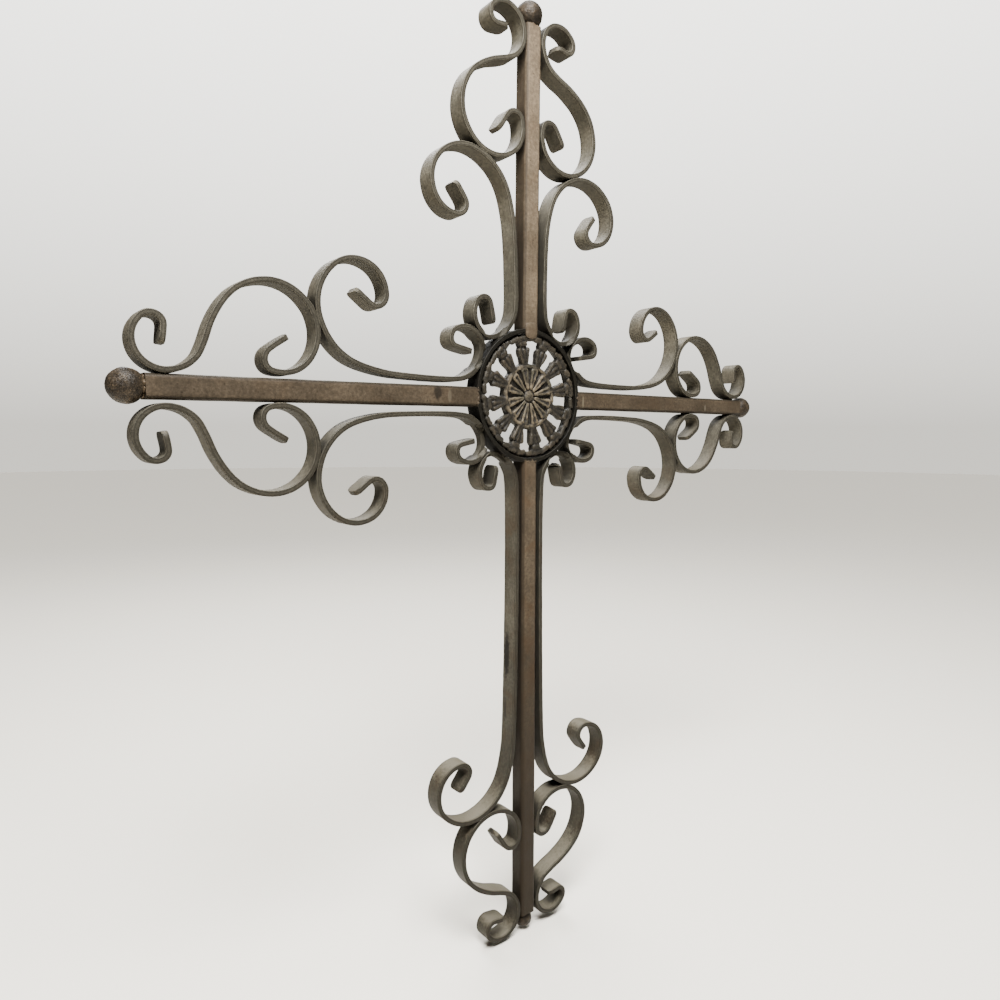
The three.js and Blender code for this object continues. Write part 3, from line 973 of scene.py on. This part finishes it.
def contacts():
    """Where a strap meets a strap, a bar or the hoop: place, direction, its node and the other one."""
    lines = strap_lines()
    others = {node: (line, thickness / 2) for node, (line, thickness) in lines.items()}
    others["hub_ring"] = (hoop_line(), HOOP_THICKNESS / 2)
    for arm in ARMS:
        others[arm + "_bar"] = (bar_line(arm, CONTACT_STEP), BAR_SIZE / 2)
    trees = {node: point_tree(line) for node, (line, _) in others.items()}
    found = []
    for node in sorted(lines):
        line, thickness = lines[node]
        for other, (_, half) in others.items():
            if other == node or (other in lines and other < node):
                continue
            gaps = [trees[other].find(point)[2] - half - thickness / 2 for point in line]
            for index in range(2, len(line) - 2):
                near = gaps[index]
                window = gaps[max(index - BEAD_WINDOW, 0):index + BEAD_WINDOW + 1]
                if near < BEAD_REACH and near == min(window):
                    nearest = trees[other].find(line[index])[0]
                    along = (line[index + 1] - line[index - 1]).normalized()
                    across = (nearest - line[index]).normalized()
                    place = line[index] + across * (thickness / 2 + near / 2)
                    found.append((place, along, node, other))
    return found


def bar_ends(arm):
    """A bar's ends on its own axis: the foot against the hoop and the tip at the ball."""
    low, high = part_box(arm + "_bar")
    ball_low, ball_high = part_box(arm + "_ball")
    direction = (ball_low + ball_high) / 2 - CROSSING
    direction.y = 0.0
    direction.normalize()
    length = {"upper": high.z - CROSSING.z, "lower": CROSSING.z - low.z,
              "left": CROSSING.x - low.x, "right": high.x - CROSSING.x}[arm]
    tip = CROSSING + direction * length
    offset = CROSSING - HOOP_CENTRE
    reach = -offset.dot(direction) + math.sqrt(
        max(offset.dot(direction) ** 2 - offset.length_squared + HOOP_RADIUS ** 2, 0.0))
    foot = CROSSING + direction * (reach - BAR_OVERLAP)
    return foot, tip


def noisy_bead(place, along, reach, seed, roughness, detail=4, squareness=1.0):
    """A weld bead: a lumpy ellipsoid whose half sizes run along, across and in depth."""
    shape = bmesh.new()
    bmesh.ops.create_icosphere(shape, subdivisions=detail, radius=1.0)
    across = along.cross(DEPTH_AXIS).normalized()
    for vertex in shape.verts:
        way = vertex.co.copy()
        swell = 1 + roughness * noise.fractal(way * 1.7 + Vector((seed * 3.1, 0.0, seed)), 1.0, 2.0, 3)
        way = Vector([math.copysign(abs(part) ** squareness, part) for part in way])
        offset = along * way.x * reach[0] + across * way.z * reach[1] + DEPTH_AXIS * way.y * reach[2]
        vertex.co = place + offset * swell
    return shape


def join_shape(piece, shape):
    """Adds a closed shape to a piece's mesh."""
    mesh = bmesh.new()
    mesh.from_mesh(piece.data)
    shape.normal_update()
    if shape.calc_volume(signed=True) < 0:
        bmesh.ops.reverse_faces(shape, faces=shape.faces)
    extra = mesh_of(shape, "extra")
    mesh.from_mesh(extra)
    mesh.to_mesh(piece.data)
    mesh.free()
    bpy.data.meshes.remove(extra)


def forge_all(context, names, first_seed):
    """Forges each strap named and lays its weld beads; the straps' front and back rims are marked."""
    sizes = context.scene.cross_sizes
    colour = context.scene.cross_colours.strap_mid
    material = lacquer(context, "strap_lacquer", colour, STRAP_EDGE_WEAR, STRAP_BROWN, 0.6)
    tree = sweep_tree(material)
    beads = contacts()
    for index, node in enumerate(names):
        line, thickness = strap_lines()[node]
        section = section_object("section", thickness, STRAP_DEPTH, sizes.strap_edge, STRAP_FLATS)
        piece = sweep_piece(MADE + node, eased_ends(line, END_EASE_LENGTHS), section, tree,
                            sizes.unevenness, STRAP_MARK_SCALE, 3 * index + first_seed)
        round_tips(piece.data, line, STRAP_DEPTH / 2, TIP_ROUND, 3.7 * index + first_seed)
        for place, along, owner, other in beads:
            if owner == node:
                seed = round((place.x + place.z) / MM)
                join_shape(piece, noisy_bead(place, along, BEAD_HALF, seed, 0.35, 3))
                if node in LONG_SCROLLS and other in END_SCROLLS:
                    nearest = min(line, key=lambda point: (point - place).length)
                    inward = (nearest - place).normalized()
                    crumb = nearest + inward * thickness / 2 + DEPTH_AXIS * (STRAP_DEPTH / 2 - CRUMB_INSET)
                    join_shape(piece, noisy_bead(crumb, along, CRUMB_HALF, seed + 1, 0.7, 3))
        mark_edges(piece.data, line, STRAP_DEPTH / 2, thickness / 2, STRAP_WEAR_REACH)
        store(piece.data, "flank", [max(abs(vertex.normal.y) - RIM_LEAN, 0.0) / (1 - RIM_LEAN)
                                    for vertex in piece.data.vertices])
        finish_piece(piece, [node])


class CROSS_OT_long_scrolls(bpy.types.Operator):
    """Forges the long scrolls that run along the arms"""

    bl_idname = "cross.long_scrolls"
    bl_label = "Long scrolls"

    def execute(self, context):
        forge_all(context, LONG_SCROLLS, 1)
        return {"FINISHED"}


class CROSS_OT_end_scrolls(bpy.types.Operator):
    """Forges the end scrolls between the long scrolls and the balls"""

    bl_idname = "cross.end_scrolls"
    bl_label = "End scrolls"

    def execute(self, context):
        forge_all(context, END_SCROLLS, 101)
        return {"FINISHED"}


class CROSS_OT_hoop(bpy.types.Operator):
    """Bends the flat hoop round the rosette"""

    bl_idname = "cross.hoop"
    bl_label = "Hoop"

    def execute(self, context):
        sizes = context.scene.cross_sizes
        # The hoop takes the strap colour darkened: partly its own darker tone, partly painted shade for its
        # sheltered outer side
        colour = shaded(context.scene.cross_colours.strap_mid, HOOP_SHADE)
        material = lacquer(context, "hoop_lacquer", colour, HOOP_EDGE_WEAR, STRAP_BROWN, 0.3)
        section = section_object("section", HOOP_THICKNESS, STRAP_DEPTH, sizes.strap_edge, STRAP_FLATS)
        line = hoop_line()
        piece = sweep_piece(MADE + "hoop", line, section, sweep_tree(material),
                            sizes.unevenness, STRAP_MARK_SCALE, 71, True)
        mark_edges(piece.data, line, STRAP_DEPTH / 2, HOOP_THICKNESS / 2, STRAP_WEAR_REACH)
        finish_piece(piece, ["hub_ring"])
        return {"FINISHED"}


class CROSS_OT_bars(bpy.types.Operator):
    """Draws out the four square bars and welds their feet to the hoop"""

    bl_idname = "cross.bars"
    bl_label = "Bars"

    def execute(self, context):
        sizes = context.scene.cross_sizes
        colour = context.scene.cross_colours.bar_mid
        material = lacquer(context, "bar_lacquer", colour, BAR_EDGE_WEAR, BAR_BROWN, 0.7, BAR_FLANK_SHARE)
        side_material = lacquer(context, "side_bar_lacquer", shaded(colour, SIDE_BAR_SHADE), BAR_EDGE_WEAR,
                                shaded(BAR_BROWN, 0.7), 0.6, BAR_FLANK_SHARE)
        for index, arm in enumerate(ARMS):
            line = bar_line(arm, BAR_STEP)
            section = section_object("section", BAR_SIZE, BAR_SIZE, sizes.bar_corner, BAR_FLATS,
                                     BAR_CORNER_STEPS)
            tree = sweep_tree(side_material if arm in ("left", "right") else material)
            piece = sweep_piece(MADE + arm + "_bar", eased_ends(line, END_EASE_LENGTHS), section, tree,
                                sizes.unevenness * BAR_UNEVENNESS, BAR_MARK_SCALE, 31 * index + 7)
            for shape in foot_welds(arm, line[0], (line[-1] - line[0]).normalized()):
                join_shape(piece, shape)
            mark_edges(piece.data, line, BAR_SIZE / 2, BAR_SIZE / 2, BAR_WEAR_REACH)
            store(piece.data, "flank", [max(1 - abs(vertex.normal.y) / FLANK_LEAN, 0.0)
                                        for vertex in piece.data.vertices])
            finish_piece(piece, [arm + "_bar"])
        return {"FINISHED"}


def foot_welds(arm, foot, outward):
    """The weld metal at a bar's foot: a smooth lap on the upper bar, rough crumbs on the others."""
    front = Vector((foot.x, MID_DEPTH - BAR_SIZE / 2, foot.z))
    side = outward.cross(DEPTH_AXIS).normalized()
    if arm == "upper":
        place = front + DEPTH_AXIS * LAP_SINK - outward * LAP_SETBACK
        return [noisy_bead(place, outward, LAP_HALF, 3, 0.08, 5, LAP_SQUARENESS)]
    shapes = []
    for index, (along, across, size) in enumerate(FOOT_CRUMBS):
        place = front + outward * along * MM + side * across * MM + DEPTH_AXIS * FOOT_CRUMB_SINK
        half = (size * MM, size * FOOT_CRUMB_WIDTH * MM, FOOT_CRUMB_DEPTH)
        shapes.append(noisy_bead(place, outward, half, 11 * index + len(arm), 0.35))
    return shapes


class CROSS_OT_balls(bpy.types.Operator):
    """Sets the rough balls on the bars' ends with a weld collar"""

    bl_idname = "cross.balls"
    bl_label = "Balls"

    def execute(self, context):
        material = ball_iron(context)
        for index, arm in enumerate(ARMS):
            low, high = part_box(arm + "_ball")
            foot, tip = bar_ends(arm)
            outward = (tip - foot).normalized()
            radius = (high.y - low.y) / 2
            centre = tip + outward * radius * BALL_SEAT
            shape = bmesh.new()
            bmesh.ops.create_icosphere(shape, subdivisions=6, radius=1.0)
            for vertex in shape.verts:
                way = vertex.co.normalized()
                lumps = way * BALL_LUMPS[0] + Vector((index * 7.0, 0.0, 0.0))
                swell = noise.fractal(lumps, 1.0, 2.0, 4) * BALL_LUMPS[1]
                grain = noise.fractal(way * BALL_GRAIN[0], 0.8, 2.1, 4) * BALL_GRAIN[1]
                vertex.co = centre + way * radius * (BALL_ALLOWANCE + swell + grain)
                along = (vertex.co - tip).dot(outward)
                if along < 0:
                    vertex.co -= outward * along
            bmesh.ops.recalc_face_normals(shape, faces=shape.faces)
            piece = add_object(MADE + arm + "_ball", mesh_of(shape, "ball_" + arm), material)
            side = outward.cross(DEPTH_AXIS)
            half = (COLLAR_BEAD_LENGTH, radius * COLLAR_BEAD_WIDTH, radius * COLLAR_BEAD_WIDTH)
            for turn in range(COLLAR_BEADS):
                angle = 2 * math.pi * turn / COLLAR_BEADS + index
                around = side * math.cos(angle) + DEPTH_AXIS * math.sin(angle)
                place = tip + outward * COLLAR_LIFT + around * radius * COLLAR_RADIUS
                join_shape(piece, noisy_bead(place, outward, half, turn + 13 * index, 0.3, 3))
            mark_proud(piece.data, 6, 0.25 * MM)
            finish_piece(piece, [arm + "_ball"])
        return {"FINISHED"}


def mark_proud(mesh, passes, scale):
    """Stores how far each point stands out from its smoothed surroundings, 0.5 being flush."""
    count = len(mesh.vertices)
    places = np.empty(count * 3)
    mesh.vertices.foreach_get("co", places)
    places = places.reshape(count, 3)
    normals = np.empty(count * 3, dtype=np.float32)
    mesh.vertices.foreach_get("normal", normals)
    normals = normals.reshape(count, 3)
    pairs = np.empty(len(mesh.edges) * 2, dtype=np.int32)
    mesh.edges.foreach_get("vertices", pairs)
    pairs = pairs.reshape(-1, 2)
    neighbours = np.maximum(np.bincount(pairs.ravel(), minlength=count), 1)[:, None]
    smooth = places.copy()
    for _ in range(passes):
        gathered = np.stack([
            np.bincount(pairs[:, 0], smooth[pairs[:, 1], axis], count)
            + np.bincount(pairs[:, 1], smooth[pairs[:, 0], axis], count) for axis in range(3)], axis=1)
        smooth = gathered / neighbours
    proud = ((places - smooth) * normals).sum(axis=1) / scale
    store(mesh, "proud", np.clip(0.5 + 0.5 * proud, 0.0, 1.0).astype(np.float32))


# Rosette shapes, modelled about the Y axis with the first copy pointing along +Z
def profile(front, back, pairs, edge=0.0):
    """Radius and depth pairs for turning: the front as given in millimetres, then down to the back."""
    points = [(edge + radius * MM, front + depth * MM) for radius, depth in pairs]
    return [*points, (points[-1][0], back), (points[0][0], back)]


def turned(pairs, steps):
    """A closed shape turned about the Y axis from (radius, depth) pairs; a radius of nought closes it."""
    shape = bmesh.new()
    rings = []
    for radius, depth in pairs:
        if radius <= 0:
            rings.append([shape.verts.new((0.0, depth, 0.0))])
        else:
            rings.append([shape.verts.new((radius * math.sin(turn), depth, radius * math.cos(turn)))
                          for turn in (2 * math.pi * step / steps for step in range(steps))])
    closing = [] if pairs[0][0] <= 0 else [(rings[-1], rings[0])]
    for one, other in [*zip(rings, rings[1:]), *closing]:
        for step in range(steps):
            ahead = (step + 1) % steps
            corners = (one[step % len(one)], one[ahead % len(one)],
                       other[ahead % len(other)], other[step % len(other)])
            unique = list(dict.fromkeys(corners))
            if len(unique) > 2:
                shape.faces.new(unique)
    bmesh.ops.recalc_face_normals(shape, faces=shape.faces)
    return shape


def capsule(shape, start, end, start_radius, end_radius, flatten=1.0):
    """Adds a round-ended bar between two points, thinner or thicker towards its end."""
    made = bmesh.ops.create_icosphere(shape, subdivisions=2, radius=1.0)
    start = Vector(start)
    end = Vector(end)
    axis = (end - start).normalized()
    for vertex in made["verts"]:
        way = vertex.co.copy()
        centre, radius = (start, start_radius) if way.dot(axis) < 0 else (end, end_radius)
        offset = way * radius
        offset.y *= flatten
        vertex.co = centre + offset


def spoke_shape(front, back, inner, outer):
    """One spoke: a fluted bell, a rounded collar and a three-lobed head."""
    reach = outer - inner
    middle = (front + back) / 2
    shape = bmesh.new()
    rows = []
    for along, width in SPOKE_WIDTHS:
        half = width / 2 * MM
        bevel = half * SPOKE_BEVEL
        rows.append([shape.verts.new((x, y, inner + along * reach)) for x, y in (
            (-half, middle), (-bevel, front + SPOKE_FACE), (bevel, front + SPOKE_FACE),
            (half, middle), (bevel, back - SPOKE_BACK), (-bevel, back - SPOKE_BACK))])
    for one, other in zip(rows, rows[1:]):
        for step in range(6):
            ahead = (step + 1) % 6
            shape.faces.new((one[step], one[ahead], other[ahead], other[step]))
    shape.faces.new(rows[0][::-1])
    shape.faces.new(rows[-1])
    bmesh.ops.recalc_face_normals(shape, faces=shape.faces)
    face = front + 1.2 * MM
    lobe_face = face + 0.3 * MM
    bell_start = inner + 0.4 * MM
    bell_end = inner + 0.54 * reach
    collar = inner + 0.76 * reach
    lobe_start = inner + 0.9 * reach
    lobe_end = inner + 0.99 * reach
    lobe = 1.9 * MM
    for side in (-MM, 0.0, MM):
        capsule(shape, (side * 1.5, face, bell_start), (side * 3.6, face, bell_end), 1.1 * MM, lobe)
        capsule(shape, (side * 3.7, lobe_face, lobe_start), (side * 4.2, lobe_face, lobe_end), lobe, lobe)
    capsule(shape, (-1.5 * MM, face, collar), (1.5 * MM, face, collar), 2.5 * MM, 2.5 * MM, 0.8)
    return shape


def petal_shape(front, inner, outer):
    """One petal of the flower: two ridges that part outwards, with a shallow web between."""
    shape = bmesh.new()
    face = front + 0.95 * MM
    web_face = face + 0.7 * MM
    ridge_end = outer - 1.7 * MM
    web_end = outer - 1.6 * MM
    tip = outer - 1.1 * MM
    for side in (-MM, MM):
        capsule(shape, (side * 0.45, face, inner), (side * 1.6, face, ridge_end), 0.65 * MM, 1.45 * MM)
    capsule(shape, (-1.0 * MM, face, tip), (1.0 * MM, face, tip), 1.4 * MM, 1.4 * MM)
    capsule(shape, (0.0, web_face, inner), (0.0, web_face, web_end), 0.7 * MM, 1.6 * MM, 0.7)
    return shape


def rope_shape(front, radius):
    """One slanting nodule of the rope that runs round the outer ring."""
    shape = bmesh.new()
    face = front + 0.9 * MM
    slant = 0.4 * MM
    capsule(shape, (-1.7 * MM, face, radius - slant), (1.7 * MM, face, radius + slant),
            ROPE_THICKNESS, ROPE_THICKNESS, 0.75)
    return shape


class CROSS_OT_rosette(bpy.types.Operator):
    """Casts the openwork rosette: rope ring, spokes, rim, petals and boss"""

    bl_idname = "cross.rosette"
    bl_label = "Rosette"

    def execute(self, context):
        dark = tuple(context.scene.cross_colours.rosette_dark)
        material = cast_iron("rosette_cast", dark, shaded(dark, 2.2), ROSETTE_OLIVE, ROSETTE_TAN)
        front = ROSETTE_LOW.y
        back = ROSETTE_HIGH.y
        ring_inner = ROSETTE_RADIUS - RING_WIDTH
        pieces = (
            turned(profile(front, back, RING_PROFILE, ROSETTE_RADIUS), 120),
            turned(profile(front, back, DISC_PROFILE), 96),
            turned(profile(front, back - BOSS_BACK, BOSS_PROFILE), 48),
        )
        spoke = spoke_shape(front, back, DISC_RADIUS - SPOKE_IN_DISC, ring_inner + SPOKE_IN_RING)
        copies = (
            (spoke, SPOKES, SPOKE_TURN),
            (petal_shape(front, PETAL_START, DISC_RADIUS - PETAL_INSET), PETALS, math.pi / PETALS),
            (rope_shape(front, ROSETTE_RADIUS - ROPE_INSET), ROPE_TURNS, 0.0),
        )
        joined = bmesh.new()
        for shape in pieces:
            part = mesh_of(shape, "part")
            joined.from_mesh(part)
            bpy.data.meshes.remove(part)
        tree = copies_tree(material)
        for index, (shape, count, start) in enumerate(copies):
            source = add_object("single", mesh_of(shape, "single"), None)
            tree.apply(source, {
                "Count": count, "Start": start, "Unlikeness": UNLIKENESS[index], "Seed": 5 + index,
            })
            ring = baked(source, "ring")
            joined.from_mesh(ring.data)
            bpy.data.objects.remove(ring)
        source = add_object("rosette_body", mesh_of(joined, "rosette_body"), material)
        source.modifiers.new("fuse", "REMESH").voxel_size = context.scene.cross_sizes.casting_grain
        piece = baked(source, MADE + "rosette")
        roughen(piece.data, CASTING_SKIN)
        piece.data.transform(Matrix.Translation((HOOP_CENTRE.x, 0.0, HOOP_CENTRE.z)))
        mark_proud(piece.data, 26, 0.6 * MM)
        finish_piece(piece, ["rosette"])
        return {"FINISHED"}


def roughen(mesh, layers):
    """Moves points in and out along their normals by layers of (scale, depth) noise."""
    moves = []
    for vertex in mesh.vertices:
        move = sum(noise.noise(vertex.co * scale) * depth for scale, depth in layers)
        moves.append(vertex.co + vertex.normal * move * 0.5)
    for vertex, place in zip(mesh.vertices, moves):
        vertex.co = place


class CROSS_OT_shade_and_dust(bpy.types.Operator):
    """Paints shade where the other pieces shelter a point and under what faces down, and marks what faces up
    for dust and painted top light
    """

    bl_idname = "cross.weathering"
    bl_label = "Painted shade and dust"

    def execute(self, context):
        walls = bmesh.new()
        for node in NODES.values():
            walls.from_mesh(node.data)
        tree = BVHTree.FromBMesh(walls)
        walls.free()
        golden = math.pi * (3 - math.sqrt(5))
        ways = []
        for index in range(SHADE_RAYS):
            rise = SHADE_LOWEST_RAY + (1 - SHADE_LOWEST_RAY) * (index + 0.5) / SHADE_RAYS
            flat = math.sqrt(1 - rise * rise)
            ways.append(Vector((flat * math.cos(golden * index), flat * math.sin(golden * index), rise)))
        for piece in [item for item in context.scene.objects if item.name.startswith(MADE)]:
            shares = []
            for vertex in piece.data.vertices:
                turn = vertex.normal.to_track_quat("Z", "Y")
                start = vertex.co + vertex.normal * SHADE_LIFT
                struck = 0.0
                for way in ways:
                    heading = turn @ way
                    _, facing, _, distance = tree.ray_cast(start, heading, SHADE_REACH)
                    if distance is not None and facing.dot(heading) < 0:
                        struck += 1 - distance / SHADE_REACH
                # Front faces are spared part of the painted shade; undersides get painted shade too
                front_spared = 1 - FRONT_SHADE_SPARED * max(-vertex.normal.y, 0.0)
                under = UNDERSIDE_SHADE * max(-vertex.normal.z, 0.0)
                shares.append(max(min(struck / len(ways) * SHADE_GAIN, 1.0), under) * front_spared)
            store(piece.data, "grime", shares)
            # What faces up is marked for dust and painted top light
            store(piece.data, "dust", [max(vertex.normal.z, 0.0) for vertex in piece.data.vertices])
        return {"FINISHED"}


class CROSS_PT_panel(bpy.types.Panel):
    """Lists the cross's pieces"""

    bl_idname = "CROSS_PT_panel"
    bl_label = "Wrought iron cross"
    bl_space_type = "VIEW_3D"
    bl_region_type = "UI"
    bl_category = "Cross"

    def draw(self, context):
        for operator in OPERATORS:
            self.layout.operator(operator.bl_idname)
        for group in (context.scene.cross_sizes, context.scene.cross_colours):
            for name in group.__annotations__:
                self.layout.prop(group, name)


OPERATORS = (
    CROSS_OT_stage, CROSS_OT_long_scrolls, CROSS_OT_end_scrolls, CROSS_OT_hoop, CROSS_OT_bars, CROSS_OT_balls,
    CROSS_OT_rosette, CROSS_OT_shade_and_dust,
)
CLASSES = (CrossSizes, CrossColours, *OPERATORS, CROSS_PT_panel)


def register():
    for item in CLASSES:
        bpy.utils.register_class(item)
    bpy.types.Scene.cross_sizes = bpy.props.PointerProperty(type=CrossSizes)
    bpy.types.Scene.cross_colours = bpy.props.PointerProperty(type=CrossColours)


def unregister():
    del bpy.types.Scene.cross_colours
    del bpy.types.Scene.cross_sizes
    for item in reversed(CLASSES):
        bpy.utils.unregister_class(item)


def main():
    register()
    for operator in OPERATORS:
        group, name = operator.bl_idname.split(".")
        getattr(getattr(bpy.ops, group), name)()


if __name__ == "__main__":
    main()
